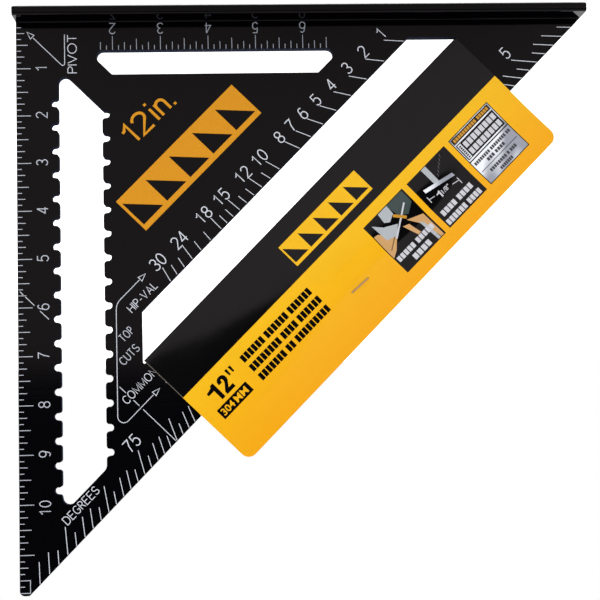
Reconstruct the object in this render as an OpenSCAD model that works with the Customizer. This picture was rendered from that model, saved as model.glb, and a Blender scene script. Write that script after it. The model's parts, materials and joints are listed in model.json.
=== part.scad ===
// Twelve-inch rafter square in its retail card sleeve.
//
// The square stands on its fence: +Z is up, the marked face looks toward -Y, and the
// origin is the centre of the fence's outer face. The face is drawn as a flat sheet:
// x runs along the fence from the pivot corner, y is 0 at the fence's inner face and
// falls away from it, and w rises from the plate's middle plane out of the marked face.
// A second sheet frame, (s, h), lies on the long edge: s runs along it from its middle
// toward the right-angled end of the fence, and h is the depth from it into the plate.
// All sizes are millimetres.

/* [Square] */
// Length of both legs, twelve inches
leg = 304.8; // [290:0.1:320]
// Thickness of the plate
plate_t = 4.5; // [4:0.1:6]
// Width of the fence across the plate, one and an eighth inches
fence_w = 28.575; // [24:0.1:34]
// Thickness of the fence
fence_t = 4.75; // [4:0.05:6]
// Rounding of the fence's long outer corners
fence_edge_r = 1.2; // [0.5:0.1:2]
// Rounding of the fence's outer corners at its ends
fence_end_r = 1; // [0.5:0.1:2]
// Fillet where the plate meets the fence
root_r = 0.6; // [0.3:0.1:1]
// Distance of the blunted tip from the fence
tip_reach = 299.9; // [297:0.1:300.5]
// Rounding of the tip on the ruled edge
tip_r = 2.5; // [1:0.1:3]

/* [Slots] */
// Start of the notched slot from the ruled edge
scribe_x = 21.9; // [20:0.1:24]
// Nearest point of the notched slot's sharp outline to the fence
scribe_start = 25; // [24:0.1:27]
// Length of the notched slot's long side, before its noses are rounded
scribe_len = 234.5; // [230:0.1:238]
// Width of the notched slot
scribe_w = 23; // [20:0.1:24]
// Distance of the ruler slot from the fence
ruler_gap = 15.8; // [15:0.1:18]
// Start of the ruler slot's long side from the ruled edge
ruler_x = 37.2; // [36:0.1:40]
// Length of the ruler slot's long side, before its noses are rounded
ruler_len = 136.3; // [130:0.1:140]
// Width of the ruler slot
ruler_w = 13.1; // [10:0.1:14]
// Width of the leg between the rafter slot and the long edge
rafter_leg = 40; // [38:0.1:44]
// Width of the rafter slot
rafter_w = 20.2; // [18:0.1:21]
// Length of the rafter slot's long side
rafter_len = 246.3; // [240:0.1:248]
// Middle of the rafter slot along the long edge
rafter_mid = 38.05; // [36:0.05:40]
// Rounding of the noses of the notched slot and the ruler slot
nose_r = 3.5; // [2:0.1:4]
// Width of a scribing notch
notch_w = 3.7; // [3:0.1:4]
// Depth of a scribing notch
notch_d = 3.9; // [3.6:0.1:4]
// Rounding at the mouth of a scribing notch
notch_mouth_r = 1.6; // [0.6:0.1:1.6]

/* [Marks] */
// Thickness of the marking film
ink_t = 0.1; // [0.05:0.01:0.2]
// Width of a graduation line
tick_w = 0.38; // [0.3:0.01:0.6]
// Height of the inch numerals
inch_h = 6.2; // [5:0.1:7]
// Height of the rafter and degree numerals
scale_h = 7; // [6:0.1:8]
// Height of the legends
legend_h = 4.6; // [4:0.1:5.2]
// Width of a numeral's strokes, as a share of its height
numeral_share = 0.08; // [0.06:0.005:0.12]
// Width of a legend's strokes
legend_w = 0.42; // [0.35:0.01:0.6]
// Height of the size mark
size_h = 12.7; // [9:0.1:13]
// Width of the size mark's strokes
size_w = 1.5; // [1:0.1:2.4]
// Length of the badge
badge_len = 88; // [60:1:90]
// Height of the badge
badge_h = 22; // [14:1:22]

/* [Card sleeve] */
// Thickness of the card
card_t = 0.45; // [0.3:0.05:0.6]
// Length of the sleeve along the leg
card_len = 240.6; // [220:0.1:241]
// Reach of the sleeve beyond the long edge
card_flap = 34.8; // [25:0.1:40]
// Space between the card and the plate
card_gap = 0.4; // [0.3:0.05:0.6]
// Rounding of the sleeve's free corners
card_r = 5; // [3:0.5:8]
// Outside of the spine, measured past the edge of the leg
spine_out = 1.4; // [1.2:0.05:1.6]
// Width of the spine across the plate
spine_w = 9; // [6.2:0.1:9.6]
// Distance beyond the long edge at which the two panels have met
pinch = 10; // [8:0.5:12]

/* [Staple] */
// Diameter of the staple wire
wire_d = 0.6; // [0.4:0.05:0.7]
// Length of the staple's crown
crown = 12.6; // [10:0.1:13]
// Length of each clinched leg behind the card
clinch = 4.5; // [3:0.5:5.5]
// Place of the staple along the long edge
staple_s = 25; // [0:1:100]
// Distance of the staple beyond the long edge
staple_out = 13.4; // [12:0.1:25]
// Tilt of the staple against the long edge, in degrees
staple_tilt = -4; // [-10:1:10]

/* [Hidden] */

inch = 25.4;
root2 = sqrt(2);
round_fn = 48;

metal = [0.11, 0.10, 0.11];
silver = [0.82, 0.84, 0.88];
orange = [0.92, 0.62, 0.13];
yellow = [0.97, 0.75, 0.12];
wire = [0.72, 0.70, 0.68];

// Sheet frames -----------------------------------------------------------------------

// Puts a sheet drawn in (x, y, w) where it belongs on the standing square
module sheet() {
    translate([leg / 2, 0, fence_t]) rotate([0, 180, 0]) rotate([90, 0, 0]) children();
}

// Puts a drawing made in (s, h) on the sheet
module on_long_edge() {
    translate([leg / 2, -leg / 2]) rotate(45) children();
}

// A film of marking on the front face of the plate
module film(tint) {
    color(tint) sheet() translate([0, 0, plate_t / 2]) linear_extrude(ink_t) children();
}

// Square body ------------------------------------------------------------------------

// Rounds every corner [x, y, r] of an outline; r = 0 leaves the corner sharp
function rounded(corners, step = 22.5) = [for (i = [0:len(corners) - 1])
    let (n = len(corners), p = corners[i], q = [p[0], p[1]],
        before = corners[(i + n - 1) % n], after = corners[(i + 1) % n],
        u = unit([before[0], before[1]] - q), v = unit([after[0], after[1]] - q),
        half = acos(u * v) / 2)
    each p[2] == 0 ? [q] : let (
            c = q + (u + v) / norm(u + v) * p[2] / sin(half),
            from = heading(q + u * p[2] / tan(half) - c),
            turn = (180 - 2 * half) * sign(u[1] * v[0] - u[0] * v[1]),
            count = ceil(abs(turn) / step))
        [for (k = [0:count]) c + p[2] * ray(from + turn * k / count)]];

function unit(v) = v / norm(v);
function heading(v) = atan2(v[1], v[0]);
function ray(a) = [cos(a), sin(a)];

// Corners of a slot with 45 degree ends: the long side runs along +x from the origin and
// the short side lies at y = width. nose and heel round its acute and its obtuse corners.
function slot_near(length, nose) = [[0, 0, nose], [length, 0, nose]];
function slot_far(length, width, heel) = [[length - width, width, heel], [width, width, heel]];

module slot_blank(length, width, nose, heel) {
    polygon(rounded(concat(slot_near(length, nose), slot_far(length, width, heel))));
}

// Corners of a scribing notch at x, cut from the side at y; out is its depth, with a sign,
// and run is the way the outline goes, 1 for +x. Its end is all but a half circle, so that
// its two corner arcs stay apart.
function notch(x, y, out, run) = let (r = notch_w / 2, end_r = r - 0.002)
    [[x - run * r, y, notch_mouth_r], [x - run * r, y + out, end_r],
     [x + run * r, y + out, end_r], [x + run * r, y, notch_mouth_r]];

// The notched slot, with a notch each half inch on either side, a quarter inch out of step.
// The slanted end runs straight into the first notch of the far side.
module scribing_slot() {
    from_fence = scribe_start + 0.25;
    heel_r = 0.8;
    end_heel_r = 4;
    far = slot_far(scribe_len, scribe_w, end_heel_r);
    near_notches = [for (k = [0:16]) each
        notch((1.75 + k / 2) * inch - from_fence, 0, -notch_d, 1)];
    far_notches = [for (k = [14:-1:0]) each
        notch((2 + k / 2) * inch - from_fence, scribe_w, notch_d, -1)];
    count = len(far_notches);
    heel = far_notches[count - 1][0];
    translate([scribe_x, -scribe_start]) rotate(-90)
        polygon(rounded(concat([[0, 0, nose_r]], near_notches, [[scribe_len, 0, nose_r], far[0]],
            [for (i = [0:count - 2]) far_notches[i]], [[heel, heel, heel_r]])));
}

module ruler_slot() {
    translate([ruler_x + ruler_len, -ruler_gap]) rotate(180)
        slot_blank(ruler_len, ruler_w, nose_r, 1);
}

module rafter_slot() {
    on_long_edge() translate([rafter_mid - rafter_len / 2, rafter_leg])
        slot_blank(rafter_len, rafter_w, 1, 0.6);
}

// The triangle, with its tip blunted
module plate_outline() {
    tip_w = leg - tip_reach;
    polygon(rounded([[0, 0, 0], [leg, 0, 0], [tip_w, -tip_reach, 1], [0, -tip_reach, tip_r]]));
}

// Section of the fence and the root of the plate, in (across, up)
module fence_section() {
    out = fence_w / 2;
    root = plate_t / 2;
    stub = fence_t + 1;
    polygon(rounded([[-out, 0, fence_edge_r], [out, 0, fence_edge_r],
        [out, fence_t, fence_edge_r], [root, fence_t, root_r], [root, stub, 0],
        [-root, stub, 0], [-root, fence_t, root_r], [-out, fence_t, fence_edge_r]]));
}

// Clears the root beyond the long edge, where the fence runs on and the plate doesn't
module end_clearance() {
    depth = 2;
    sheet() linear_extrude(fence_w + 2, center = true)
        polygon([[leg, 0], [leg - depth, -depth], [leg + 1, -depth], [leg + 1, 0]]);
}

// The fence's outline as seen from the front, carried up past its root
module fence_front() {
    out = leg / 2;
    top = fence_t + 2;
    rotate([90, 0, 0]) linear_extrude(fence_w + 2, center = true)
        polygon(rounded([[-out, 0, fence_end_r], [out, 0, fence_end_r], [out, top, 0], [-out, top, 0]]));
}

module fence() {
    difference() {
        intersection() {
            rotate([90, 0, 90]) linear_extrude(leg, center = true) fence_section();
            fence_front();
        }
        end_clearance();
    }
}

module square_body() {
    color(metal) {
        fence();
        sheet() translate([0, 0, -plate_t / 2]) linear_extrude(plate_t) difference() {
            plate_outline();
            scribing_slot();
            ruler_slot();
            rafter_slot();
        }
    }
}

// Lettering: each glyph is a list of strokes, and a stroke is [closed, points] ---------

function arc(cx, cy, rx, ry, from, to, steps = 8) =
    [for (i = [0:steps]) let (a = from + (to - from) * i / steps) [cx + rx * cos(a), cy + ry * sin(a)]];

// A full oval, without its repeated last point
function oval(cx, cy, rx, ry, steps = 16) =
    [for (i = [0:steps - 1]) [cx + rx * cos(360 * i / steps), cy + ry * sin(360 * i / steps)]];

function strokes(c) =
    c == "0" ? [[true, oval(0.26, 0.5, 0.26, 0.5)]] :
    c == "1" ? [[false, [[0.03, 0.77], [0.13, 0.79], [0.3, 1], [0.3, 0]]]] :
    c == "2" ? [[false, concat(arc(0.26, 0.73, 0.26, 0.27, 165, -30), [[0, 0], [0.52, 0]])]] :
    c == "3" ? [[false, arc(0.25, 0.75, 0.24, 0.25, 155, -90)],
                [false, arc(0.25, 0.25, 0.27, 0.25, 90, -155)]] :
    c == "4" ? [[false, [[0.54, 0.27], [0, 0.27], [0.4, 1]]], [false, [[0.4, 1], [0.4, 0]]]] :
    c == "5" ? [[false, concat([[0.48, 1], [0.09, 1]], arc(0.25, 0.33, 0.27, 0.33, 140, -150))]] :
    c == "6" ? [[true, oval(0.26, 0.31, 0.26, 0.31)],
                [false, concat(arc(0.29, 0.7, 0.21, 0.3, 45, 150, 5), [[0, 0.34]])]] :
    c == "7" ? [[false, [[0, 1], [0.52, 1], [0.27, 0.5], [0.17, 0]]]] :
    c == "8" ? [[true, oval(0.26, 0.76, 0.23, 0.24)], [true, oval(0.26, 0.26, 0.26, 0.26)]] :
    c == "9" ? [[true, oval(0.26, 0.69, 0.26, 0.31)],
                [false, concat(arc(0.23, 0.3, 0.21, 0.3, 225, 330, 5), [[0.52, 0.66]])]] :
    c == "A" ? [[false, [[0, 0], [0.3, 1], [0.6, 0]]], [false, [[0.1, 0.33], [0.5, 0.33]]]] :
    c == "C" ? [[false, arc(0.34, 0.5, 0.34, 0.5, 42, 318, 14)]] :
    c == "D" ? [[true, concat([[0, 1], [0, 0]], arc(0.28, 0.5, 0.34, 0.5, -90, 90))]] :
    c == "E" ? [[false, [[0.52, 1], [0, 1], [0, 0], [0.52, 0]]], [false, [[0, 0.52], [0.46, 0.52]]]] :
    c == "G" ? [[false, concat(arc(0.34, 0.5, 0.34, 0.5, 42, 322, 14), [[0.64, 0.45], [0.38, 0.45]])]] :
    c == "H" ? [[false, [[0, 0], [0, 1]]], [false, [[0.54, 0], [0.54, 1]]],
                [false, [[0, 0.52], [0.54, 0.52]]]] :
    c == "I" ? [[false, [[0, 0], [0, 1]]]] :
    c == "L" ? [[false, [[0, 1], [0, 0], [0.4, 0]]]] :
    c == "M" ? [[false, [[0, 0], [0, 1], [0.36, 0.1], [0.72, 1], [0.72, 0]]]] :
    c == "N" ? [[false, [[0, 0], [0, 1], [0.58, 0], [0.58, 1]]]] :
    c == "O" ? [[true, oval(0.36, 0.5, 0.36, 0.5, 18)]] :
    c == "P" ? [[false, [[0, 0], [0, 1]]],
                [false, concat([[0, 1]], arc(0.24, 0.74, 0.22, 0.26, 90, -90, 6), [[0, 0.48]])]] :
    c == "R" ? concat(strokes("P"), [[false, [[0.26, 0.48], [0.5, 0]]]]) :
    c == "S" ? [[false, concat(arc(0.28, 0.74, 0.25, 0.26, 25, 245, 8),
                arc(0.28, 0.25, 0.28, 0.25, 65, -155, 8))]] :
    c == "T" ? [[false, [[0, 1], [0.52, 1]]], [false, [[0.26, 0], [0.26, 1]]]] :
    c == "U" ? [[false, concat([[0, 1]], arc(0.27, 0.28, 0.27, 0.28, 180, 360), [[0.54, 1]])]] :
    c == "V" ? [[false, [[0, 1], [0.3, 0], [0.6, 1]]]] :
    c == "i" ? [[false, [[0, 0], [0, 0.7]]], [false, [[0, 0.94], [0, 1.06]]]] :
    c == "n" ? [[false, [[0, 0], [0, 0.7]]],
                [false, concat(arc(0.24, 0.46, 0.24, 0.24, 180, 0), [[0.48, 0]])]] :
    c == "." ? [[false, [[0, -0.04], [0, 0.08]]]] :
    c == "-" ? [[false, [[0, 0.42], [0.26, 0.42]]]] : [];

// Width of a glyph's centre lines, in cap heights
function glyph_w(c) = max([for (s = strokes(c), p = s[1]) p[0]]);

function left_of(a, b) = let (d = (b - a) / norm(b - a)) [-d[1], d[0]];

// Direction and length of the joint at point i of a line, with long points cut short
function miter(p, i, closed) = let (
        n = len(p),
        before = closed || i > 0 ? left_of(p[(i + n - 1) % n], p[i]) : left_of(p[0], p[1]),
        after = closed || i < n - 1 ? left_of(p[i], p[(i + 1) % n]) : before,
        both = before + after)
    both / max(1 + before * after, 0.45);

function beside(p, d, closed) = [for (i = [0:len(p) - 1]) p[i] + d * miter(p, i, closed)];

function reversed(p) = [for (i = [len(p) - 1:-1:0]) p[i]];

// A line of the given width along the points p
module line(p, width, closed = false) {
    if (closed) difference() {
        polygon(beside(p, -width / 2, true));
        polygon(beside(p, width / 2, true));
    }
    else polygon(concat(beside(p, width / 2, false), reversed(beside(p, -width / 2, false))));
}

// One letter; stretch widens its centre lines and leaves its strokes as they are
module glyph(c, height, width, stretch) {
    body = height - width;
    for (s = strokes(c))
        line([for (p = s[1]) [p[0] * body * stretch, p[1] * body + width / 2]], width, s[0]);
}

// Digits of a scale stand in cells of one width; other letters take their own
digit_cell = 0.52;

// Sum of the centre-line widths of the first n letters of a word, in cap heights
function run_w(word, n, cell) = n == 0 ? 0 : run_w(word, n - 1, cell) + max(glyph_w(word[n - 1]), cell);

// A word standing on y = 0, centred on x = 0; gap is the space between letters
module lettering(word, height, width, gap, stretch = 1, cell = 0) {
    body = (height - width) * stretch;
    n = len(word);
    total = run_w(word, n, cell) * body + (n - 1) * (width + gap);
    for (i = [0:n - 1]) translate([run_w(word, i, cell) * body + i * (width + gap) - total / 2, 0])
        glyph(word[i], height, width, stretch);
}

// A number of a scale
module numeral(n, height) {
    digit_gap = 0.1 * height;
    lettering(str(n), height, numeral_share * height, digit_gap, cell = digit_cell);
}

// A legend drawn to a given length
module legend(word, height, length) {
    n = len(word);
    gap = 0.11 * height;
    lines = length - n * legend_w - (n - 1) * gap;
    lettering(word, height, legend_w, gap, lines / (run_w(word, n, 0) * (height - legend_w)));
}

// Inch scales ------------------------------------------------------------------------

// Bare metal left between a graduation and the edge that it belongs to
edge_margin = 0.3;

// Length of a graduation by its eighth of an inch
function eighth_len(k) = k % 8 == 0 ? 7.6 : k % 4 == 0 ? 6.2 : k % 2 == 0 ? 4.4 : 2.7;

// The small box round the last graduation, before the blunted tip
tip_box_w = 5.4;
tip_box_top = 11.5 * inch;
tip_box_bottom = 11.75 * inch;

module edge_inch_ticks() {
    film(silver) {
        for (k = [1:93]) if (k != 92) translate([edge_margin, -k * inch / 8 - tick_w / 2])
            square([eighth_len(k) - edge_margin, tick_w]);
        line([[edge_margin, -tip_box_top], [tip_box_w, -tip_box_top],
            [tip_box_w, -tip_box_bottom], [2 * edge_margin, -tip_box_bottom]], tick_w);
    }
}

// Numbers by the ruled edge, each with its last digit beside its graduation
module edge_inch_numerals() {
    foot_x = 16.3;
    rise = 0.4;
    digit_step = 4.1;
    film(silver) for (n = [1:10])
        translate([foot_x, rise - n * inch - (len(str(n)) - 1) * digit_step / 2])
            rotate(90) numeral(n, inch_h);
}

module slot_inch_ticks() {
    film(silver) for (k = [14:52])
        translate([k * inch / 8 - tick_w / 2, edge_margin - ruler_gap])
            square([tick_w, eighth_len(k) - edge_margin]);
}

module slot_inch_numerals() {
    from_fence = 0.9;
    film(silver) for (n = [2:6]) translate([n * inch, -from_fence]) rotate(180)
        numeral(n, inch_h);
}

// Rays from the pivot ----------------------------------------------------------------

// A graduation on the ray at angle a from the fence, between two distances from the
// pivot that are measured square to the long edge
module ray_tick(a, near, far) {
    stretch = cos(45 - a);
    rotate(-a) translate([near / stretch, -tick_w / 2]) square([(far - near) / stretch, tick_w]);
}

// Place along the long edge where a ray crosses the line at depth h
function ray_s(a, h) = (leg / root2 - h) * tan(45 - a);

edge_depth = leg / root2;

// Degree scale
degree_long = 11.3;
degree_label_h = 12.7;
degree_label_shift = 0.5;

function degree_len(a) = a % 5 == 0 ? degree_long : (a % 5 == 2 || a % 5 == 3) ? 8.5 : 5.7;

module degree_ticks() {
    film(silver) for (a = [1:88])
        ray_tick(a, edge_depth - degree_len(a), edge_depth - edge_margin);
}

// Every fifth degree is numbered, but not 70, where the layout line and an arrow run
module degree_numerals() {
    film(silver) on_long_edge() for (a = [5:5:75]) if (a != 70)
        translate([ray_s(a, degree_long) + degree_label_shift, degree_label_h])
            numeral(a, scale_h);
}

// Rafter scales: the rise of the roof in a run of twelve (common) or seventeen (hip and
// valley) sets each ray. Each numbered rise comes with the shift of its number along the
// scale, away from the end of its graduation, in millimetres.
named_rises = [[1, 1.8], [2, 2.1], [3, 2.5], [4, 1.7], [5, 0.8], [6, 0.4], [7, 0.3], [8, -0.3],
    [10, -0.9], [12, -0.9], [15, -1.4], [18, -1.4], [24, 1.1], [30, 0.5]];
plain_rises = [11, 13, 14, 16, 17, 20, 22, 26, 28];
common_run = 12;
hip_run = 17;
named_len = 8.3;
plain_len = 5.9;
label_gap = 0.3;
hip_depth = edge_depth - rafter_leg - rafter_w;
common_depth = edge_depth - rafter_leg;

module hip_valley_ticks() {
    film(silver) {
        for (n = named_rises)
            ray_tick(atan(n[0] / hip_run), hip_depth - named_len, hip_depth - edge_margin);
        for (n = plain_rises)
            ray_tick(atan(n / hip_run), hip_depth - plain_len, hip_depth - edge_margin);
    }
}

module hip_valley_numerals() {
    tick_end = rafter_leg + rafter_w + named_len;
    film(silver) on_long_edge() for (n = named_rises)
        translate([ray_s(atan(n[0] / hip_run), tick_end) + n[1], tick_end + label_gap])
            numeral(n[0], scale_h);
}

module common_ticks() {
    film(silver) {
        for (n = named_rises)
            ray_tick(atan(n[0] / common_run), common_depth + edge_margin, common_depth + named_len);
        for (n = plain_rises)
            ray_tick(atan(n / common_run), common_depth + edge_margin, common_depth + plain_len);
    }
}

module common_numerals() {
    tick_end = rafter_leg - named_len;
    film(silver) on_long_edge() for (n = named_rises)
        translate([ray_s(atan(n[0] / common_run), tick_end), tick_end - label_gap - scale_h])
            numeral(n[0], scale_h);
}

// Legends and arrows -----------------------------------------------------------------

// How far an arrowhead's point stands past the end of its line
head_reach = 5.2;

// An open arrowhead with its point near the origin, pointing along +x
module arrowhead() {
    tip = 0.6;
    length = 4;
    half_w = 1.4;
    line([[-tip, 0], [-tip - length, half_w], [-tip - length, -half_w]], tick_w, true);
}

// A legend along the long edge; place is the middle of its foot in (s, h)
module edge_legend(word, place, height, length) {
    film(silver) on_long_edge() translate(place) legend(word, height, length);
}

module hip_valley_legend() {
    edge_legend("HIP-VAL", place = [-59.1, 63], height = legend_h, length = 19.5);
}

module top_cuts_legend() {
    edge_legend("TOP", place = [-78.8, 55.4], height = legend_h, length = 8);
    edge_legend("CUTS", place = [-85.4, 46.9], height = legend_h, length = 12.3);
}

module common_legend() {
    edge_legend("COMMON", place = [-93.4, 31.6], height = legend_h + 0.1, length = 23);
}

module degrees_legend() {
    edge_legend("DEGREES", place = [-158.1, 10.7], height = legend_h + 0.1, length = 23.8);
}

module pivot_legend() {
    place = [32, -17.6];
    film(silver) translate(place) rotate(90) legend("PIVOT", height = legend_h + 0.5, length = 21);
}

// The pivot arrow: down beside its legend, round a tight bend and up to the corner
module pivot_arrow() {
    stem_x = 25.5;
    bend_r = 1;
    bend_y = -22.8;
    stem_len = 15.8;
    run = 20.9;
    bend_end = [-bend_r, 0] + bend_r * [-1, -1] / root2;
    up = [-1, 1] / root2;
    film(silver) translate([stem_x, bend_y]) {
        line(concat([[0, stem_len]], arc(-bend_r, 0, bend_r, bend_r, 0, -135, 6),
            [bend_end + run * up]), tick_w);
        translate(bend_end + (run + head_reach) * up) rotate(135) arrowhead();
    }
}

// The bracket that leads from the top-cut legends to both rafter scales
module rafter_scale_arrows() {
    stem_x = 50.8;
    upper_r = 7.5;
    upper_y = -154.4;
    upper_run = 14.2;
    lower_r = 3.2;
    lower_y = -210.1;
    lower_run = 18.6;
    upper_end = [stem_x + upper_r, upper_y] + upper_r * [-1, 1] / root2 + upper_run * [1, 1] / root2;
    lower_end = [stem_x + lower_r, lower_y] + lower_r * [1, -1] / root2 + lower_run * [1, 1] / root2;
    film(silver) {
        line(concat([upper_end], arc(stem_x + upper_r, upper_y, upper_r, upper_r, 135, 180, 4),
            arc(stem_x + lower_r, lower_y, lower_r, lower_r, 180, 315, 8), [lower_end]), tick_w);
        for (end = [upper_end, lower_end])
            translate(end + head_reach * [1, 1] / root2) rotate(45) arrowhead();
    }
}

// A line square to the long edge, broken where it would cross a numeral, a slot or a legend
module layout_line() {
    line_s = -100.9;
    runs = [[0.6, 24.1], [26.9, 31], [36.6, 41.1], [92, 98.4], [102.6, 109.2], [110.6, 113]];
    film(silver) on_long_edge() for (run = runs)
        translate([line_s - tick_w / 2, run[0]]) square([tick_w, run[1] - run[0]]);
}

module size_mark() {
    foot_h = 123.8;
    figures_s = 3.4;
    unit_s = 21.3;
    film(orange) on_long_edge() {
        translate([figures_s, foot_h]) lettering("12", size_h, size_w, gap = 2.1, stretch = 1.3);
        translate([unit_s, foot_h]) lettering("in.", size_h, size_w, gap = 1.8);
    }
}

// A plain badge: a bar with five right triangles cut out of it, like squares in a row
module badge() {
    count = 5;
    step = badge_len / count;
    rim = 3;
    middle_s = 11.5;
    low_h = 88.3;
    film(orange) on_long_edge() translate([middle_s - badge_len / 2, low_h]) difference() {
        square([badge_len, badge_h]);
        for (i = [0:count - 1]) translate([i * step + rim / 2, rim])
            polygon([[0, 0], [step - rim, 0], [0, badge_h - 2 * rim]]);
    }
}

// Card sleeve ------------------------------------------------------------------------

// Inner faces of a panel above the plate's middle plane: over the long edge, at the spine
// and where the panels have met
edge_in = plate_t / 2 + card_gap;
spine_in = spine_w / 2 - card_t;
pinch_gap = 0.05;
spine_face = rafter_leg + spine_out;
// Where the panel leaves the leg, measured beyond the long edge
leave = 1;

// A stretch of the front panel between two depths [h, inner face], as long as the sleeve
module card_stretch(near, far) {
    translate([rafter_mid - card_len / 2, 0, 0]) rotate([90, 0, 90]) linear_extrude(card_len)
        polygon([[near[0], near[1]], [far[0], far[1]], [far[0], far[1] + card_t],
            [near[0], near[1] + card_t]]);
}

// Over the leg, from the long edge up to the spine
module card_panel() {
    card_stretch([-leave, edge_in], [spine_face - card_t, spine_in]);
}

// From the long edge down to the other panel
module card_fold() {
    card_stretch([-pinch, pinch_gap], [-leave, edge_in]);
}

// Beyond the fold, where both panels lie together, with its free corners rounded
module card_flap_part() {
    reach = card_flap - pinch;
    difference() {
        translate([rafter_mid, -pinch - reach / 2, pinch_gap]) linear_extrude(card_t) difference() {
            square([card_len, reach], center = true);
            for (side = [-1, 1]) translate([side * card_len / 2, -reach / 2]) difference() {
                square(2 * card_r, center = true);
                translate([-side * card_r, card_r]) circle(card_r, $fn = round_fn);
            }
        }
        at_staple() for (side = [-1, 1]) translate([side * (crown - wire_d) / 2, 0, -1])
            cylinder(h = card_t + 2, d = wire_d + hole_play, $fn = 24);
    }
}

// Play of the staple's legs in the holes of the card, across both sides
hole_play = 0.1;

// The staple's frame: its middle on the sheet, turned to its tilt
module at_staple() {
    translate([staple_s, -staple_out]) rotate(staple_tilt) children();
}

module on_front() {
    color(yellow) sheet() on_long_edge() children();
}

module on_back() {
    on_front() mirror([0, 0, 1]) children();
}

module card_front_panel() { on_front() card_panel(); }
module card_front_fold() { on_front() card_fold(); }
module card_front_flap() { on_front() card_flap_part(); }
module card_back_panel() { on_back() card_panel(); }
module card_back_fold() { on_back() card_fold(); }
module card_back_flap() { on_back() card_flap_part(); }

// The spine goes through the rafter slot and joins both panels
module card_spine() {
    on_front() translate([rafter_mid - card_len / 2, spine_face - card_t, -spine_w / 2])
        cube([card_len, card_t, spine_w]);
}

// A bent wire corner: a quarter ring from +x round to -y, in the (x, y) plane
module wire_bend(r) {
    rotate_extrude(angle = 90, $fn = round_fn) translate([r, 0]) circle(d = wire_d, $fn = 16);
}

// One half of the staple, in its frame: half the crown, a leg through the card and the clinch
module staple_half() {
    bend = 0.55;
    leg_x = (crown - wire_d) / 2;
    top_w = card_t + pinch_gap + wire_d / 2;
    translate([0, 0, top_w]) rotate([0, 90, 0]) cylinder(h = leg_x - bend, d = wire_d, $fn = 24);
    translate([leg_x, 0, bend - top_w]) cylinder(h = 2 * (top_w - bend), d = wire_d, $fn = 24);
    for (end = [0, 1]) mirror([0, 0, end]) translate([leg_x - bend, 0, top_w - bend])
        rotate([90, 0, 0]) wire_bend(bend);
    translate([leg_x - bend - clinch, 0, -top_w]) rotate([0, 90, 0])
        cylinder(h = clinch, d = wire_d, $fn = 24);
}

module staple() {
    color(wire) sheet() on_long_edge() at_staple() for (side = [0, 1])
        mirror([side, 0, 0]) staple_half();
}

square_body();
edge_inch_ticks();
edge_inch_numerals();
slot_inch_ticks();
slot_inch_numerals();
pivot_arrow();
pivot_legend();
hip_valley_ticks();
hip_valley_numerals();
hip_valley_legend();
top_cuts_legend();
common_legend();
rafter_scale_arrows();
common_ticks();
common_numerals();
degree_ticks();
degree_numerals();
degrees_legend();
layout_line();
size_mark();
badge();
card_front_panel();
card_front_fold();
card_front_flap();
card_spine();
card_back_panel();
card_back_fold();
card_back_flap();
staple();
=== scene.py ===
"""The looks of a rafter square in its stapled card sleeve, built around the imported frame.

The long leg of the square has its own frame: s runs along the long edge, h goes from that edge
into the plate, and w stands out of the marked face. The card sleeve is worked out on its flat
sheet, in millimetres, and then folded round the leg.
"""

import json
import math

import bpy
from mathutils import Matrix, Vector, noise
from mathutils.geometry import delaunay_2d_cdt


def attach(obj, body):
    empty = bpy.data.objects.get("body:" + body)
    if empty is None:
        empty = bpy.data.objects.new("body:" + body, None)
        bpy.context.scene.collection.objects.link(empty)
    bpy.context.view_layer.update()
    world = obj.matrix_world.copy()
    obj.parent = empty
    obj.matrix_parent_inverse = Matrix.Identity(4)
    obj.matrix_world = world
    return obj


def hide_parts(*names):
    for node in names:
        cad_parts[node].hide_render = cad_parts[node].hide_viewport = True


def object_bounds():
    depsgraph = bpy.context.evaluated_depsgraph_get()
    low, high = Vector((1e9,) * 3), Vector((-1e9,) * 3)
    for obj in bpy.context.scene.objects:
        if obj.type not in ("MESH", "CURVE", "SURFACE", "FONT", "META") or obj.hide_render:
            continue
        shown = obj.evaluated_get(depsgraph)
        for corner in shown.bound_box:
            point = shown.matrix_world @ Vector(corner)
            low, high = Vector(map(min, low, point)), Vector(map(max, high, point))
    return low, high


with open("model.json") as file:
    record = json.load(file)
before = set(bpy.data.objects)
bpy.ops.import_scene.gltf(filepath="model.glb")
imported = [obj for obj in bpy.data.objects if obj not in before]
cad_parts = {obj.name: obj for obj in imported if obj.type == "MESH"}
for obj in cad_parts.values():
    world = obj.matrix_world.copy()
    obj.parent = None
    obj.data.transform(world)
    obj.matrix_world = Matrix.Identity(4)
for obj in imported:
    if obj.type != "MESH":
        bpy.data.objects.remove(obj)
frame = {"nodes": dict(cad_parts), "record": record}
cad_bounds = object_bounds()
NODES = frame["nodes"]
MM = 0.001
WALLS_ABOVE = 6 * MM  # just over the fence and the rounding of its root

# Camera: angles and distance of the view, aimed near the middle of the object
VIEW_AZIMUTH = 3.4875
VIEW_ELEVATION = 4.5836
VIEW_ROLL = 178.436
VIEW_DISTANCE = 0.6004
VIEW_AIM = Vector((0.0051, 0.0, 0.0037))
LENS = 67.94
SENSOR = 36.0

# Studio: strength of the dome, and the share of it that is left in its dark part
SKY = 2.0
SKY_DARK = 0.11
DARK_AHEAD = (-0.85, -0.6)  # along Y, fully dark up to the first and gone by the second
DARK_LOW = (0.3, 0.5)  # along Z, in the same way
FLOOR_SIZE = 16.0

# Leg frame, from the square's own corners
ALONG = Vector((-1, 0, -1)).normalized()
ACROSS = Vector((1, 0, -1)).normalized()
FRONT = Vector((0, -1, 0))
EDGE_START = Vector((0, 0, max(v.co.z - v.co.x for v in NODES["square_body"].data.vertices)))


def reach(node, axis):
    """Lowest and highest place of a CAD node along an axis of the leg, in millimetres."""
    places = [(v.co - EDGE_START).dot(axis) / MM for v in NODES[node].data.vertices]
    return min(places), max(places)


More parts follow.
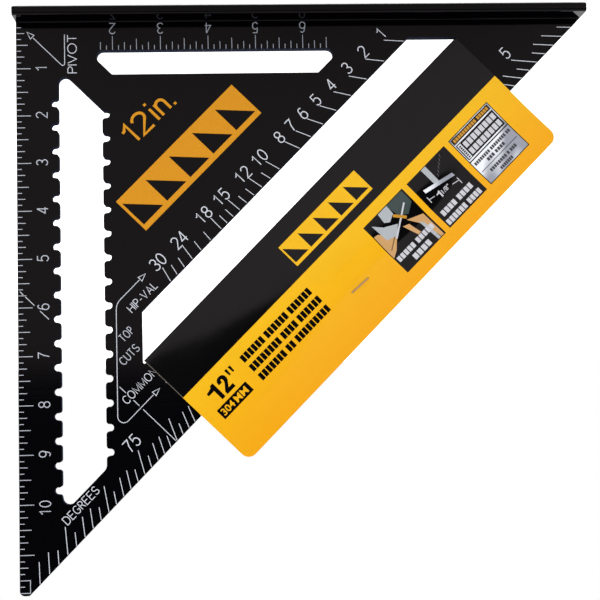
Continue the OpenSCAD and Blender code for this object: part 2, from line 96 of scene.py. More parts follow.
# Card sleeve, from its CAD nodes, in millimetres
CARD_START, CARD_END = reach("card_spine", ALONG)
SPINE_LOW, SPINE_H = reach("card_spine", ACROSS)
SPINE_W = reach("card_spine", FRONT)[1]
FLAP_H, FLAP_TOP = reach("card_front_flap", ACROSS)
TOUCH_W = reach("card_front_flap", FRONT)[1]
PLATE_W = reach("badge", FRONT)[0]
STAPLE_S = sum(reach("staple", ALONG)) / 2
STAPLE_H = sum(reach("staple", ACROSS)) / 2
CARD_T = SPINE_H - SPINE_LOW

# Front panel: it bulges from just over the plate at the long edge out to the spine
EDGE_PLAY = 0.32
EDGE_W = PLATE_W + CARD_T + EDGE_PLAY
SPINE_SLOPE = 0.006
BULGE = (SPINE_W - EDGE_W - SPINE_SLOPE * SPINE_H) / SPINE_H**3

# Fold beyond the long edge: how far it reaches at the staple, and how much further away from it
FOLD_SLACK = 1.5
FOLD_AT_STAPLE = FOLD_SLACK - FLAP_TOP
FOLD_GROWTH = 7
FOLD_GROWS_OVER = 90

# Flaps: the staple holds them together, and they open up with the distance from it
HELD_R = 5
OPENING = 1.6
OPENS_OVER = 150

# Waves in the board: height, lengths along and across the leg, and where they fade out
WAVES = 0.09
WAVE_ALONG = 38
WAVE_ACROSS = 30
WAVE_PLACE = 0.5
CALM_R = 6
CALM_AT_STAPLE = 25
CALM_AT_SPINE = 20

# Cut, print and mesh of the flat sheet
FOLD_R = 0.9
FLAP_R = 5.0
TURN = 0.0065  # the print and the cut lie this much askew to the fold, in radians
BAND = 12.75
CUT_RIM = 0.16
RIM_INSET = 0.6
# The painted shade on the yellow starts this far from the long edge, beside the band.
EDGE_SHADE_H = 12
COLUMNS = 60
FLAP_STEP = 1.6
PANEL_STEP = 2.6
BEND_STEP = 0.24
SPINE_STEP = 1.4


# Folded sheet -----------------------------------------------------------------------


def smooth(x):
    """Smooth step from 0 to 1."""
    x = min(max(x, 0.0), 1.0)
    return x * x * (3 - 2 * x)


def front_w(s, h):
    """Outer face of the front panel above the plate's middle plane."""
    from_staple = math.hypot(s - STAPLE_S, h - STAPLE_H)
    calm = smooth((SPINE_H - h) / CALM_AT_SPINE) * smooth((from_staple - CALM_R) / CALM_AT_STAPLE)
    wave = WAVES * calm * noise.noise(Vector((s / WAVE_ALONG, h / WAVE_ACROSS, WAVE_PLACE)))
    depth = SPINE_H - max(h, 0.0)
    w = SPINE_W - SPINE_SLOPE * depth - BULGE * depth**3
    if h >= 0:
        return w + wave
    # A cubic leads from the panel's height and slope at the long edge down to the level flap.
    slope = SPINE_SLOPE + 3 * BULGE * SPINE_H**2
    fold = FOLD_AT_STAPLE + FOLD_GROWTH * smooth(abs(s - STAPLE_S) / FOLD_GROWS_OVER)
    low = TOUCH_W + OPENING * smooth((from_staple - HELD_R) / OPENS_OVER)
    x = min(-h / fold, 1.0)
    w = w * (2 * x**3 - 3 * x**2 + 1) - slope * fold * (x**3 - 2 * x**2 + x)
    return w + low * (3 * x**2 - 2 * x**3) + wave


BEND_H = SPINE_H - FOLD_R
BEND_W = front_w(0, BEND_H) - FOLD_R
BEND_LEN = FOLD_R * math.pi / 2
SHEET_MID = BEND_H + BEND_LEN + BEND_W


def folded(s, q):
    """Outer face at a place (s, q) of the flat sheet: q is h on the front panel, and goes on
    over the spine to the back panel."""
    if q > SHEET_MID:
        place = folded(s, 2 * SHEET_MID - q)
        return Vector((place.x, -place.y, place.z))
    if q <= BEND_H:
        h, w = q, front_w(s, q)
    elif q <= BEND_H + BEND_LEN:
        turn = (q - BEND_H) / FOLD_R
        h, w = BEND_H + FOLD_R * math.sin(turn), BEND_W + FOLD_R * math.cos(turn)
    else:
        h, w = SPINE_H, SHEET_MID - q
    return EDGE_START + MM * (ALONG * s + ACROSS * h + FRONT * w)


def folded_normal(s, q):
    """Outward normal of the folded sheet."""
    step = 0.05
    along = folded(s + step, q) - folded(s - step, q)
    across = folded(s, q + step) - folded(s, q - step)
    return along.cross(across).normalized()


# Prints on the flat sheet -----------------------------------------------------------


def askew(a, b):
    """A place of the print on the sheet, turned by the skew of the fold."""
    return (a + TURN * b, b - TURN * a)


def box(a0, b0, a1, b1):
    """Corners of an upright rectangle."""
    return [(a0, b0), (a1, b0), (a1, b1), (a0, b1)]


class Print:
    """Printed areas in the order in which they are laid down; each is an ink and an outline."""

    def __init__(self, place):
        self.place = place
        self.areas = []

    def area(self, ink, corners):
        """An outline filled with an ink."""
        self.areas.append((ink, [self.place(a, b) for a, b in corners]))

    def bar(self, ink, a0, b0, a1, b1):
        """A filled rectangle."""
        self.area(ink, box(a0, b0, a1, b1))

    def stroke(self, ink, start, end, width):
        """A straight line of a width."""
        along = Vector(end) - Vector(start)
        side = Vector((-along.y, along.x)).normalized() * width / 2
        points = [Vector(start) - side, Vector(end) - side, Vector(end) + side, Vector(start) + side]
        self.area(ink, [tuple(p) for p in points])

    def greeked(self, ink, left, right, base, height, words, gap=0.2):
        """A line of plain blocks in place of lettering: words are the counts of blocks."""
        space = 0.5
        slots = sum(words) + space * (len(words) - 1)
        step = (right - left) / (slots - gap)
        place = left
        for word in words:
            for _ in range(word):
                self.bar(ink, place, base, place + step * (1 - gap), base + height)
                place += step
            place += space * step

    def figures(self, ink, word, left, right, base, height, weight=0.0):
        """A number or a unit, fitted into a box."""
        curve = bpy.data.curves.new("figures", "FONT")
        curve.body = word
        curve.offset = weight
        curve.resolution_u = 3
        holder = bpy.data.objects.new("figures", curve)
        bpy.context.scene.collection.objects.link(holder)
        bpy.context.view_layer.update()
        mesh = holder.evaluated_get(bpy.context.evaluated_depsgraph_get()).to_mesh()
        xs = [v.co.x for v in mesh.vertices]
        ys = [v.co.y for v in mesh.vertices]
        wide = (right - left) / (max(xs) - min(xs))
        tall = height / (max(ys) - min(ys))
        for face in mesh.polygons:
            corners = [mesh.vertices[i].co for i in face.vertices]
            self.area(ink, [(left + (c.x - min(xs)) * wide, base + (c.y - min(ys)) * tall)
                            for c in corners])
        bpy.data.objects.remove(holder)
        bpy.data.curves.remove(curve)


def emblem(sheet, left, base, width, height, ink, ground):
    """A plain bar with five right triangles cut out of it, like the badge of the square."""
    count = 5
    step = width / count
    rim = height * 0.136
    sheet.bar(ink, left, base, left + width, base + height)
    for i in range(count):
        a = left + i * step + rim / 2
        sheet.area(ground, [(a, base + rim), (a + step - rim, base + rim), (a, base + height - rim)])


def saw_tile(sheet, a, b, width, height):
    """A plain picture of a board, a square and a cutter."""
    sheet.bar("black", a, b, a + width, b + height)
    top = b + height - 0.5
    sheet.area("tan", [(a + 0.5, b + 26), (a + 3, b + 25.6), (a + 10.5, b + 18), (a + 4.5, b + 12.5),
                       (a + 0.5, b + 10.5)])
    sheet.area("tan", [(a + 16, b + 19), (a + 19.5, b + 17.5), (a + 21, b + 10), (a + 19, b + 10)])
    sheet.area("tan", [(a + 20, b + 20), (a + 28.9, b + 16), (a + 28.9, b + 0.5), (a + 27, b + 0.5),
                       (a + 25, b + 12)])
    sheet.area("teal", [(a + 17, top), (a + 28.9, top), (a + 28.9, b + 25), (a + 23, b + 21.5),
                        (a + 18.5, b + 24.5)])
    sheet.area("grey", [(a + 10.8, top), (a + 17.4, top), (a + 17, b + 27.5), (a + 12.5, b + 25.5),
                        (a + 10, b + 27.5)])
    sheet.area("grey", [(a + 3.8, b + 31), (a + 8, b + 26), (a + 15, b + 22), (a + 10.5, b + 17.5),
                        (a + 4.5, b + 20)])
    sheet.area("grey", [(a + 24, b + 15), (a + 26, b + 12), (a + 26.5, b + 0.5), (a + 24.8, b + 0.5)])
    sheet.stroke("white", (a + 9, b + 16.8), (a + 25.5, b + 27.5), 0.9)
    sheet.stroke("gold", (a + 16.2, b + 26.8), (a + 21, b + 21), 1.6)
    sheet.stroke("brown", (a + 2.5, b + 14.3), (a + 9, b + 18.3), 0.5)
    sheet.greeked("white", a + 1.3, a + width - 1.8, b + 6.6, 3.1, [5, 5])
    sheet.greeked("white", a + 8.3, a + 20.8, b + 1.4, 3.3, [4])


def section_tile(sheet, a, b, width, height):
    """The T section of the square with its width over the fence."""
    sheet.bar("black", a, b, a + width, b + height)
    sheet.area("grey", [(a + 10.8, b + height - 0.4), (a + 14.1, b + height - 0.4),
                        (a + 14.1, b + 21.6), (a + 11, b + 22.2)])
    sheet.area("silver", [(a + 4, b + 22.2), (a + 22.4, b + 17.8), (a + 22.2, b + 19.9),
                          (a + 4, b + 24.3)])
    for i in range(6):
        sheet.stroke("dim", (a + 15.5 + 1.6 * i, b + 23.6 + 1.3 * i),
                     (a + 16.2 + 1.6 * i, b + 25.2 + 1.3 * i), 0.25)
    sheet.stroke("white", (a + 2.9, b + 20.4), (a + 2.9, b + 16.4), 0.45)
    sheet.stroke("white", (a + 3.1, b + 18.5), (a + 6.6, b + 17.7), 0.4)
    sheet.stroke("white", (a + 18, b + 15.3), (a + 22, b + 14.4), 0.4)
    sheet.stroke("white", (a + 22.3, b + 16.1), (a + 22.3, b + 12), 0.45)
    bold_one(sheet, "white", a + 7.6, b + 14.4, 0.42)
    sheet.figures("white", '1/8"', a + 11, a + 16.2, b + 15, 2.7, 0.01)
    sheet.greeked("white", a + 2.3, a + 25.2, b + 6.4, 3.3, [4, 4])
    sheet.greeked("white", a + 1, a + 26.6, b + 1, 3.3, [6, 4])


def promise_tile(sheet, a, b, width, height):
    """A silver label of greeked lines."""
    right = a + width
    sheet.bar("black", a, b, right, b + height)
    sheet.bar("silver", a + 0.5, b + 0.5, right - 0.5, b + height - 0.5)
    sheet.bar("black", a + 1, b + 28.6, right - 1, b + 31.9)
    sheet.greeked("gold", a + 2, right - 2, b + 29.3, 1.9, [10, 5])
    sheet.bar("black", a + 1, b + 17.4, right - 1, b + 27.8)
    sheet.bar("silver", a + 1.6, b + 17.9, a + 3.9, b + 27.3)
    for i in range(7):
        sheet.bar("black", a + 2.1, b + 18.4 + 1.22 * i, a + 3.4, b + 19.2 + 1.22 * i)
    sheet.greeked("white", a + 4.9, right - 2, b + 23.1, 3.5, [8])
    sheet.greeked("white", a + 4.9, right - 2, b + 18.4, 3.5, [8])
    sheet.bar("black", a, b + 15.9, right, b + 16.6)
    sheet.greeked("dark", a + 1.6, right - 1.8, b + 12.6, 1.9, [8, 8, 2])
    sheet.greeked("dark", a + 8.4, a + 21.6, b + 9.6, 1.9, [3, 4])
    sheet.bar("dark", a + 1.4, b + 7.9, right - 1.4, b + 8.3)
    sheet.greeked("dark", a + 5.4, right - 5.2, b + 4.4, 1.9, [8, 1, 3])
    sheet.greeked("dark", a + 10.2, a + 19.4, b + 1.3, 1.8, [7])


def bold_one(sheet, ink, a, b, size=1.0):
    """A bold figure one, with its flag."""
    one = [(4.1, 0), (6.4, 0), (6.4, 9.6), (4.6, 9.6), (3.6, 8.4), (0.2, 7.7), (0.2, 6.2), (4.1, 6.2)]
    sheet.area(ink, [(a + size * x, b + size * y) for x, y in one])


def twelve(sheet, a, b):
    """The size in bold figures, with its inch mark."""
    bold_one(sheet, "black", a, b)
    two = [(0, 0), (6, 0), (6, 2.1), (2.9, 2.1), (4.3, 3.9), (5.5, 5.4), (5.9, 6.8), (5.7, 8.2),
           (4.7, 9.3), (3, 9.7), (1.3, 9.3), (0.3, 8.2), (0.1, 6.4), (2.4, 6.4), (2.4, 7.2),
           (2.55, 7.7), (3, 7.9), (3.4, 7.7), (3.6, 7.1), (3.5, 6.2), (3, 5.2), (1.6, 3.6), (0, 1.7)]
    sheet.area("black", [(a + 7.9 + x, b + y) for x, y in two])
    for x in (15.2, 17.8):
        sheet.area("black", [(a + x + 0.3, b + 6), (a + x + 1.3, b + 6), (a + x + 1.6, b + 9.7),
                             (a + x, b + 9.7)])


def front_print():
    """The front panel's print."""
    sheet = Print(askew)
    emblem(sheet, 8.7, 17.7, 58, 14, "yellow", "black")
    twelve(sheet, -72.9, -2.6)
    sheet.bar("black", -75.3, -10.9, -53.9, -4.6)
    sheet.figures("yellow", "304", -74, -65.8, -9.7, 4, 0.02)
    sheet.figures("yellow", "MM", -64.5, -56, -9.7, 4, 0.02)
    for base, right, words in ((2.2, 4.1, [6, 6, 6]), (-4.5, 4.9, [8, 4, 6]), (-11.1, 4.9, [7, 2, 9])):
        sheet.greeked("black", -47.1, right, base, 4.2, words)
    saw_tile(sheet, 47.8, -26.9, 30, 33.5)
    section_tile(sheet, 81.2, -26.7, 29.3, 33)
    promise_tile(sheet, 113.9, -26.5, 30.6, 32.7)
    return sheet.areas


def back_print():
    """The back panel's print, a guess: greeked lines, a bar code and the same emblem."""
    sheet = Print(lambda a, b: (-a, 2 * SHEET_MID - b))
    emblem(sheet, -CARD_END + 10, 17.7, 58, 14, "yellow", "black")
    for row in range(6):
        sheet.greeked("black", -CARD_END + 10, -CARD_END + 86 - 7 * (row % 3),
                      5 - 4.6 * row, 2, [6, 3, 8, 5, 4])
    sheet.bar("white", 20, -28, 62, 6)
    place = 24.0
    for i in range(26):
        wide = 0.5 + 0.35 * ((i * 7) % 3)
        sheet.bar("black", place, -20, place + wide, 3)
        place += wide + 0.5 + 0.25 * ((i * 5) % 3)
    sheet.greeked("black", 25, 57, -25, 2.4, [1, 5, 5, 1])
    return sheet.areas


def corner_arc(a, b, r, start):
    """Points of a quarter turn round (a, b), from a starting angle in degrees."""
    return [(a + r * math.cos(math.radians(start + 15 * k)),
             b + r * math.sin(math.radians(start + 15 * k))) for k in range(7)]


def sheet_outline():
    """The cut edge of the whole flat sheet, with the corners of both flaps rounded."""
    left, right, low = CARD_START, CARD_END, FLAP_H
    front = corner_arc(left + FLAP_R, low + FLAP_R, FLAP_R, 180)
    front += corner_arc(right - FLAP_R, low + FLAP_R, FLAP_R, 270)
    front = [askew(a, b) if b < 0 else (a, b) for a, b in front]
    back = [(s, 2 * SHEET_MID - q) for s, q in reversed(front)]
    return front + back


def sheet_rows():
    """Places q of the rows of the mesh, closer where the sheet bends."""
    def steps(start, end, step):
        """Places from a start up to just before an end, about a step apart."""
        count = max(1, round((end - start) / step))
        return [start + (end - start) * k / count for k in range(count)]

    bend_end = BEND_H + BEND_LEN
    front = steps(FLAP_H + FLAP_STEP / 2, 0, FLAP_STEP) + steps(0, BEND_H, PANEL_STEP)
    front += steps(BEND_H, bend_end, BEND_STEP) + steps(bend_end, SHEET_MID, SPINE_STEP)
    return front + [SHEET_MID] + [2 * SHEET_MID - q for q in reversed(front)]


def followed(corners, rows, columns):
    """An outline with points added where it crosses the rows and the columns of the mesh."""
    points = []
    for (a0, b0), (a1, b1) in zip(corners, corners[1:] + corners[:1]):
        cuts = [(q - b0) / (b1 - b0) for q in rows if min(b0, b1) < q < max(b0, b1)]
        cuts += [(s - a0) / (a1 - a0) for s in columns if min(a0, a1) < s < max(a0, a1)]
        points += [(a0 + (a1 - a0) * t, b0 + (b1 - b0) * t) for t in [0] + sorted(cuts)]
    return points


def inside(point, outline):
    """Whether a place lies inside an outline."""
    x, y = point
    odd = False
    for (x0, y0), (x1, y1) in zip(outline, outline[1:] + outline[:1]):
        if (y0 > y) != (y1 > y) and x < (x1 - x0) * (y - y0) / (y1 - y0) + x0:
            odd = not odd
    return odd


def bounded(areas):
    """The areas with the box of each outline, the last one first."""
    boxes = []
    for ink, outline in reversed(areas):
        xs, ys = zip(*outline)
        boxes.append((ink, outline, min(xs), min(ys), max(xs), max(ys)))
    return boxes


def top_ink(boxes, corners):
    """Ink of the last area that holds a small triangle, or None outside the sheet."""
    x = sum(c.x for c in corners) / 3
    y = sum(c.y for c in corners) / 3
    if not inside((x, y), boxes[-1][1]):
        return None
    for ink, outline, left, low, right, high in boxes:
        if left <= x <= right and low <= y <= high and inside((x, y), outline):
            return ink


def printed_areas(outline):
    """Everything on the sheet, in the order in which it is laid down: the yellow field, the black
    band, the bare rims where the band is cut off, and the prints."""
    left, right, far = CARD_START - 1, CARD_END + 1, 2 * SHEET_MID
    band = [askew(left, BAND), askew(right, BAND), (right, far - BAND), (left, far - BAND)]
    areas = [("yellow", outline), ("black", band)]
    for a0, a1 in ((left, CARD_START + CUT_RIM), (CARD_END - CUT_RIM, right)):
        areas.append(("rim", box(a0, BAND + RIM_INSET, a1, far - BAND - RIM_INSET)))
    return areas + front_print() + back_print()


def cut_sheet():
    """Points of the flat sheet, and its triangles with the ink of each. No triangle crosses the
    edge of an outline."""
    outline = sheet_outline()
    areas = printed_areas(outline)
    rows = sheet_rows()
    columns = [CARD_START + (CARD_END - CARD_START) * k / COLUMNS for k in range(COLUMNS + 1)]
    points, edges = [], []
    for _, corners in areas:
        corners = followed(corners, rows, columns)
        first, count = len(points), len(corners)
        points += [Vector(c) for c in corners]
        edges += [(first + k, first + (k + 1) % count) for k in range(count)]
    points += [Vector((s, q)) for q in rows for s in columns if inside((s, q), outline)]
    flat, _, triangles, _, _, _ = delaunay_2d_cdt(points, edges, [], 0, 1e-4)
    boxes = bounded(areas)
    inked = [(t, top_ink(boxes, [flat[i] for i in t])) for t in triangles]
    return flat, [(t, ink) for t, ink in inked if ink]


def free_edges(triangles):
    """Edges that only one triangle has, each in that triangle's own direction."""
    edges = {(t[k], t[(k + 1) % 3]) for t in triangles for k in range(3)}
    return [(i, j) for i, j in sorted(edges) if (j, i) not in edges]


def card_mesh(inks):
    """The folded sheet with its thickness: the printed side, the raw side and the raw cut edge."""
    flat, inked = cut_sheet()
    count = len(flat)
    outer = [folded(p.x, p.y) for p in flat]
    normals = [folded_normal(p.x, p.y) for p in flat]
    inner = [p - n * CARD_T * MM for p, n in zip(outer, normals)]
    front = [list(t) for t, _ in inked]
    back = [[i + count for i in reversed(t)] for t in front]
    sides = free_edges(front)
    rim = [[j, i, i + count, j + count] for i, j in sides]
    corner_normals = [normals[i] for t in front for i in t]
    corner_normals += [-normals[i] for t in front for i in reversed(t)]
    for i, j in sides:
        corner_normals += [(outer[i] - outer[j]).cross(normals[i]).normalized()] * 4
    names = list(inks)
    slots = [names.index(ink) for _, ink in inked] + [names.index("raw")] * len(back + rim)
    mesh = bpy.data.meshes.new("card_sleeve")
    mesh.from_pydata(outer + inner, [], front + back + rim)
    for name in names:
        mesh.materials.append(inks[name])
    mesh.polygons.foreach_set("material_index", slots)
    mesh.polygons.foreach_set("use_smooth", [True] * len(slots))
    mesh.normals_split_custom_set(corner_normals)
    return mesh


def card_sleeve(inks):
    """The folded card, one sheet in place of its flat CAD stretches."""
    card = bpy.data.objects.new("card_sleeve", card_mesh(inks))
    bpy.context.scene.collection.objects.link(card)
    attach(card, "sleeve")
    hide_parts(*[n for n in NODES if n.startswith("card_")])


# Materials --------------------------------------------------------------------------


class Surface:
    """A Principled material under construction."""

    def __init__(self, name):
        self.material = bpy.data.materials.new(name)
        self.material.use_nodes = True
        self.nodes = self.material.node_tree.nodes
        self.links = self.material.node_tree.links
        self.shader = self.nodes["Principled BSDF"]
        self.place = self.add("ShaderNodeTexCoord").outputs["Object"]

    def add(self, kind, **inputs):
        """A new node with values on its inputs; a name's _ stands for a space."""
        node = self.nodes.new(kind)
        for name, value in inputs.items():
            node.inputs[name.replace("_", " ")].default_value = value
        return node

    def set(self, **inputs):
        """Values on the shader's own inputs."""
        for name, value in inputs.items():
            self.shader.inputs[name.replace("_", " ")].default_value = value
        return self

    def along(self, vector, way):
        """How far a vector reaches along a direction."""
        node = self.nodes.new("ShaderNodeVectorMath")
        node.operation = "DOT_PRODUCT"
        node.inputs[1].default_value = way
        self.links.new(vector, node.inputs[0])
        return node.outputs["Value"]

    def noise(self, scale, detail=3.0, place=None):
        """Fractal noise in object space; scale is in turns a metre."""
        node = self.add("ShaderNodeTexNoise", Scale=scale, Detail=detail)
        self.links.new(place or self.place, node.inputs["Vector"])
        return node.outputs["Fac"]

    def stretched(self, x, y, z):
        """Object space, scaled by axis."""
        node = self.add("ShaderNodeMapping", Scale=(x, y, z))
        self.links.new(self.place, node.inputs["Vector"])
        return node.outputs["Vector"]

    def mapped(self, value, low, high, start=0.3, end=0.7):
        """A value brought from start..end to low..high."""
        node = self.add("ShaderNodeMapRange")
        for name, number in (("From Min", start), ("From Max", end), ("To Min", low), ("To Max", high)):
            node.inputs[name].default_value = number
        self.links.new(value, node.inputs["Value"])
        return node.outputs["Result"]

    def mixed(self, value, low, high):
        """A colour between two by a value; each is a colour or a node's output."""
        node = self.nodes.new("ShaderNodeMix")
        node.data_type = "RGBA"
        for socket, colour in zip((node.inputs[6], node.inputs[7]), (low, high)):
            if isinstance(colour, tuple):
                socket.default_value = (*colour, 1)
            else:
                self.links.new(colour, socket)
        self.links.new(value, node.inputs[0])
        return node.outputs[2]

    def bump(self, height, distance, strength=1.0):
        """Fine relief from a value; distance is in metres."""
        node = self.add("ShaderNodeBump", Strength=strength, Distance=distance)
        self.links.new(height, node.inputs["Height"])
        self.links.new(node.outputs["Normal"], self.shader.inputs["Normal"])
        return self

    def colour(self, socket):
        """The surface's colour."""
        self.links.new(socket, self.shader.inputs["Base Color"])
        return self

    def roughness(self, socket):
        """The surface's roughness."""
        self.links.new(socket, self.shader.inputs["Roughness"])
        return self


def black_aluminium():
    """Dark semi-gloss anodising with the fine draw lines of an extrusion along the fence."""
    look = Surface("black_aluminium")
    look.set(Specular_IOR_Level=0.074, Specular_Tint=(1, 0.88, 0.87, 1))
    dust = look.noise(900, 2)
    look.colour(look.mixed(look.mapped(dust, 0, 1, 0.62, 0.8), (0.0002, 0.0002, 0.0006),
                           (0.002, 0.002, 0.003)))
    lines = look.noise(1.0, 2, look.stretched(20, 1400, 1400))
    look.roughness(look.mapped(lines, 0.07, 0.12))
    return look.bump(look.noise(2200, 2), 0.000004, 0.35).material


def painted_shade_wall():
    """Walls where the slots and the edges of the plate are cut, matt and without reflection, in a dark
    blue-black that is painted shade, with fine tool marks through its thickness."""
    look = Surface("painted_shade_wall")
    look.set(Specular_IOR_Level=0.0, Roughness=0.9)
    marks = look.noise(1.0, 2, look.stretched(2600, 120, 2600))
    look.colour(look.mixed(look.mapped(marks, 0, 1), (0.006, 0.008, 0.014), (0.018, 0.023, 0.038)))
    return look.bump(marks, 0.00001, 0.5).material


def marking(name, colour, worn):
    """Etched or printed marking with a fine grain."""
    look = Surface(name)
    look.set(Specular_IOR_Level=0.1)
    grain = look.noise(2600, 2)
    look.colour(look.mixed(look.mapped(grain, 0, 1, 0.35, 0.6), worn, colour))
    look.roughness(look.mapped(grain, 0.55, 0.4))
    return look.bump(grain, 0.00003, 0.5).material


def coated(name, colour, shaded_edge_colour=None, roughness=0.2, specular=0.13, gloss_tint=(1, 1, 1)):
    """Coated printed board: a faint mottle and the softest texture of paper under the ink. With a
    shaded edge colour, the colour turns to it from beside the band to the flap's free edge: painted
    shade, a darker, more orange yellow where the flap bends away from the light."""
    look = Surface(name)
    look.set(Specular_IOR_Level=specular, Specular_Tint=(*gloss_tint, 1))
    mottle = look.noise(120, 4)
    shade = tuple(0.96 * c for c in colour)
    tint = look.mixed(look.mapped(mottle, 0, 1), shade, colour)
    # Painted shade: the yellow darkens towards the shaded edge colour from beside the band to the
    # flap's free edge.
    if shaded_edge_colour:
        edge = EDGE_START.dot(ACROSS)
        start, end = edge + EDGE_SHADE_H * MM, edge + FLAP_H * MM
        edge_shade = look.mapped(look.along(look.place, ACROSS), 0, 1, start, end)
        tint = look.mixed(edge_shade, tint, shaded_edge_colour)
    look.colour(tint)
    look.roughness(look.mapped(look.noise(60, 2), roughness * 0.9, roughness * 1.12))
    return look.bump(look.noise(1500, 3), 0.000012, 0.3).material


def foil(name):
    """Silver print with a painted reflection: soft diagonal bands of lighter and darker silver in its
    colour.
    """
    look = Surface(name)
    look.set(Specular_IOR_Level=0.4, Roughness=0.3)
    # Painted reflection: the colour runs between dark and light silver in soft diagonal bands.
    painted_reflection_bands = look.noise(60, 1, look.stretched(1.0, 0.2, 0.4))
    look.colour(look.mixed(look.mapped(painted_reflection_bands, 0, 1, 0.42, 0.58), (0.2, 0.21, 0.25),
                           (0.6, 0.62, 0.66)))
    return look.material


def steel_wire():
    """Dull round staple wire with draw marks; its dark brown colour is partly the wire's own tone and
    partly painted shade, so the thin wire reads dark like its shadowed outline.
    """
    look = Surface("staple_wire")
    look.set(Metallic=1.0)
    marks = look.noise(3000, 2)
    # Partly painted shade: the wire's colour is kept dark brown.
    look.colour(look.mixed(look.mapped(marks, 0, 1), (0.15, 0.11, 0.10), (0.36, 0.31, 0.29)))
    return look.roughness(look.mapped(marks, 0.3, 0.42)).material


def card_inks():
    """One material for each ink, and the raw board."""
    return {
        # The yellow's second colour is painted shade, towards the flap's free edge.
        "yellow": coated("ink_yellow", (0.615, 0.34, 0.008), (0.60, 0.26, 0.004), specular=0.1),
        "black": coated("ink_black", (0.0003, 0.0005, 0.0007), roughness=0.07, specular=0.14,
                        gloss_tint=(1, 0.9, 0.93)),
        "white": coated("ink_white", (0.42, 0.42, 0.45)),
        "silver": foil("ink_silver"),
        "gold": coated("ink_gold", (0.40, 0.19, 0.02)),
        "tan": coated("ink_tan", (0.42, 0.24, 0.10)),
        "brown": coated("ink_brown", (0.06, 0.03, 0.015)),
        "grey": coated("ink_grey", (0.30, 0.32, 0.34)),
        "dim": coated("ink_dim", (0.09, 0.09, 0.10)),
        "dark": coated("ink_dark", (0.03, 0.03, 0.035)),
        "teal": coated("ink_teal", (0.035, 0.05, 0.048)),
        "rim": coated("ink_rim", (0.10, 0.085, 0.07)),
        "raw": coated("raw_board", (0.30, 0.24, 0.17), roughness=0.7, specular=0.2),
    }


def dress(node, material):
    """Gives a CAD node a finish."""
    NODES[node].data.materials.clear()
    NODES[node].data.materials.append(material)


def face_walls(node, material, above):
    """Gives the faces of a CAD node that stand square to the plate, above a height, a finish: painted
    shade, picked by which way the faces point. Only their material is set: the mesh keeps its shape."""
    mesh = NODES[node].data
    mesh.materials.append(material)
    for face in mesh.polygons:
        if abs(face.normal.y) < 0.5 and face.center.z > above:
            face.material_index = 1


def dress_nodes():
    """Gives each CAD node that is shown the finish of its material slot. Some scales and a legend get a
    duller silver, and the walls of the slots and the plate's edges a matt black of painted shade."""
    silver = marking("silver_mark", (0.50, 0.52, 0.57), (0.34, 0.35, 0.39))
    fine = marking("fine_silver_mark", (0.38, 0.40, 0.45), (0.26, 0.27, 0.31))
    faint = marking("faint_silver_mark", (0.25, 0.27, 0.31), (0.15, 0.16, 0.19))
    orange = marking("orange_mark", (0.50, 0.212, 0.008), (0.42, 0.17, 0.006))
    finishes = {"silver_mark": silver, "orange_mark": orange,
                "black_aluminium": black_aluminium(), "staple_wire": steel_wire()}
    for subpart in frame["record"]["subparts"]:
        finish = finishes.get(subpart["material_slot"])
        if finish:
            dress(subpart["node"], finish)
    for node in ("edge_inch_ticks", "edge_inch_numerals", "top_cuts_legend"):
        dress(node, fine)
    for node in ("slot_inch_ticks", "slot_inch_numerals"):
        dress(node, faint)
    # Painted shade: the walls that stand square to the plate get a dark finish without reflection.
    face_walls("square_body", painted_shade_wall(), WALLS_ABOVE)


# Studio -----------------------------------------------------------------------------


def studio_floor():
    """A wide pale floor that the square stands on."""
    half = FLOOR_SIZE / 2
    mesh = bpy.data.meshes.new("studio_floor")
    low = cad_bounds[0][2]
    mesh.from_pydata([(-half, -half, low), (half, -half, low), (half, half, low), (-half, half, low)],
                     [], [(0, 1, 2, 3)])
    floor = bpy.data.objects.new("studio_floor", mesh)
    bpy.context.scene.collection.objects.link(floor)
    look = Surface("studio_floor")
    look.set(Base_Color=(0.8, 0.8, 0.8, 1), Roughness=0.8, Emission_Color=(1, 1, 1, 1),
             Emission_Strength=0.25, Specular_IOR_Level=0.2)
    mesh.materials.append(look.material)


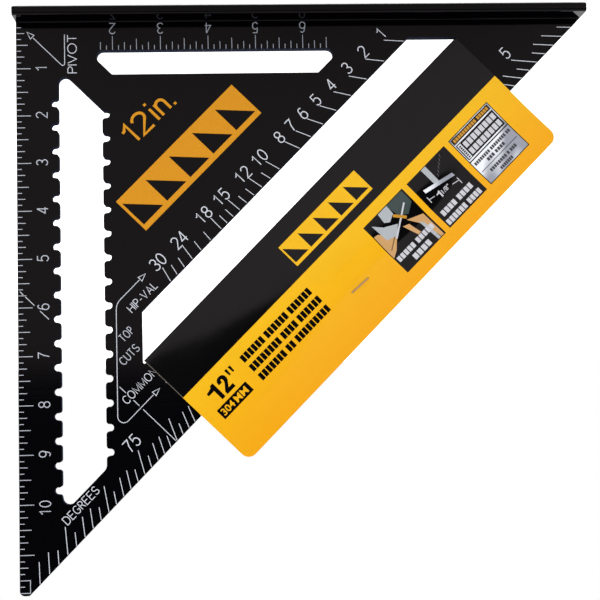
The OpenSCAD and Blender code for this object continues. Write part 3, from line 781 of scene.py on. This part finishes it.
def studio_sky():
    """A white dome for the light, darker low down in front of the square, and plain white for
    the camera."""
    world = bpy.data.worlds.new("studio_sky")
    bpy.context.scene.world = world
    world.use_nodes = True
    nodes, links = world.node_tree.nodes, world.node_tree.links
    way = nodes.new("ShaderNodeTexCoord").outputs["Generated"]
    split = nodes.new("ShaderNodeSeparateXYZ")
    links.new(way, split.inputs[0])

    def ramp(value, start, end, low, high):
        """A value brought smoothly from start..end to low..high."""
        node = nodes.new("ShaderNodeMapRange")
        node.interpolation_type = "SMOOTHSTEP"
        for name, number in (("From Min", start), ("From Max", end), ("To Min", low), ("To Max", high)):
            node.inputs[name].default_value = number
        links.new(value, node.inputs["Value"])
        return node.outputs["Result"]

    def maths(operation, a, b):
        """An operation on two inputs; each is a number or a node's output."""
        node = nodes.new("ShaderNodeMath")
        node.operation = operation
        for socket, value in zip(node.inputs, (a, b)):
            if isinstance(value, float):
                socket.default_value = value
            else:
                links.new(value, socket)
        return node.outputs[0]

    forward = ramp(split.outputs["Y"], *DARK_AHEAD, 1.0, 0.0)
    low_down = ramp(split.outputs["Z"], *DARK_LOW, 1.0, 0.0)
    dark = maths("MULTIPLY", forward, low_down)
    dome = ramp(dark, 0.0, 1.0, SKY, SKY * SKY_DARK)
    seen = nodes.new("ShaderNodeLightPath").outputs["Is Camera Ray"]
    lit = maths("MULTIPLY", maths("SUBTRACT", 1.0, seen), dome)
    strength = maths("ADD", seen, lit)
    links.new(strength, nodes["Background"].inputs["Strength"])
    nodes["Background"].inputs["Color"].default_value = (1, 1, 1, 1)


def studio_camera():
    """The view: from an angle and a distance, rolled half round, since the fence is up in it."""
    azimuth, elevation = math.radians(VIEW_AZIMUTH), math.radians(VIEW_ELEVATION)
    look = Vector((-math.sin(azimuth) * math.cos(elevation),
                   math.cos(azimuth) * math.cos(elevation), -math.sin(elevation)))
    middle = (Vector(cad_bounds[0]) + Vector(cad_bounds[1])) / 2
    lens = bpy.data.cameras.new("camera")
    lens.lens = LENS
    lens.sensor_width = SENSOR
    camera = bpy.data.objects.new("camera", lens)
    turn = look.to_track_quat("-Z", "Y").to_matrix().to_4x4()
    roll = Matrix.Rotation(math.radians(VIEW_ROLL), 4, "Z")
    camera.matrix_world = Matrix.Translation(middle + VIEW_AIM - look * VIEW_DISTANCE) @ turn @ roll
    bpy.context.scene.collection.objects.link(camera)
    bpy.context.scene.camera = camera


bpy.context.scene.view_settings.view_transform = "Standard"
studio_camera()
studio_floor()
studio_sky()
dress_nodes()
card_sleeve(card_inks())
